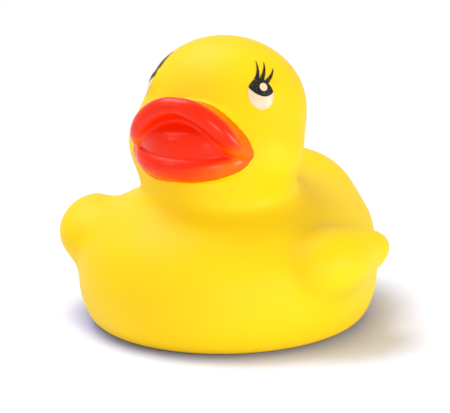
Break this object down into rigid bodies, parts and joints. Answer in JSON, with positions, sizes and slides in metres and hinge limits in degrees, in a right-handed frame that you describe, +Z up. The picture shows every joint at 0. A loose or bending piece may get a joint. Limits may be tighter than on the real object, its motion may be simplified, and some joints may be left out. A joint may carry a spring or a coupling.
{
  "type": "rubber duck",
  "caption": "Yellow vinyl rubber duck with an open red bill, small swept wings and printed eyes with lashes.",
  "frame": {"origin": "bottom centre of the bounding box, on the surface the duck stands on", "axes": "-Y is the way the duck looks, +X its left side, +Z up"},
  "size_m": [0.0838, 0.085, 0.0715],
  "materials": {
    "vinyl": "matte",
    "bill_paint": "satin",
    "eye_white": "satin",
    "eye_black": "satin"
  },
  "bodies": {
    "root": {"duck_body": "vinyl"}
  },
  "joints": []
}
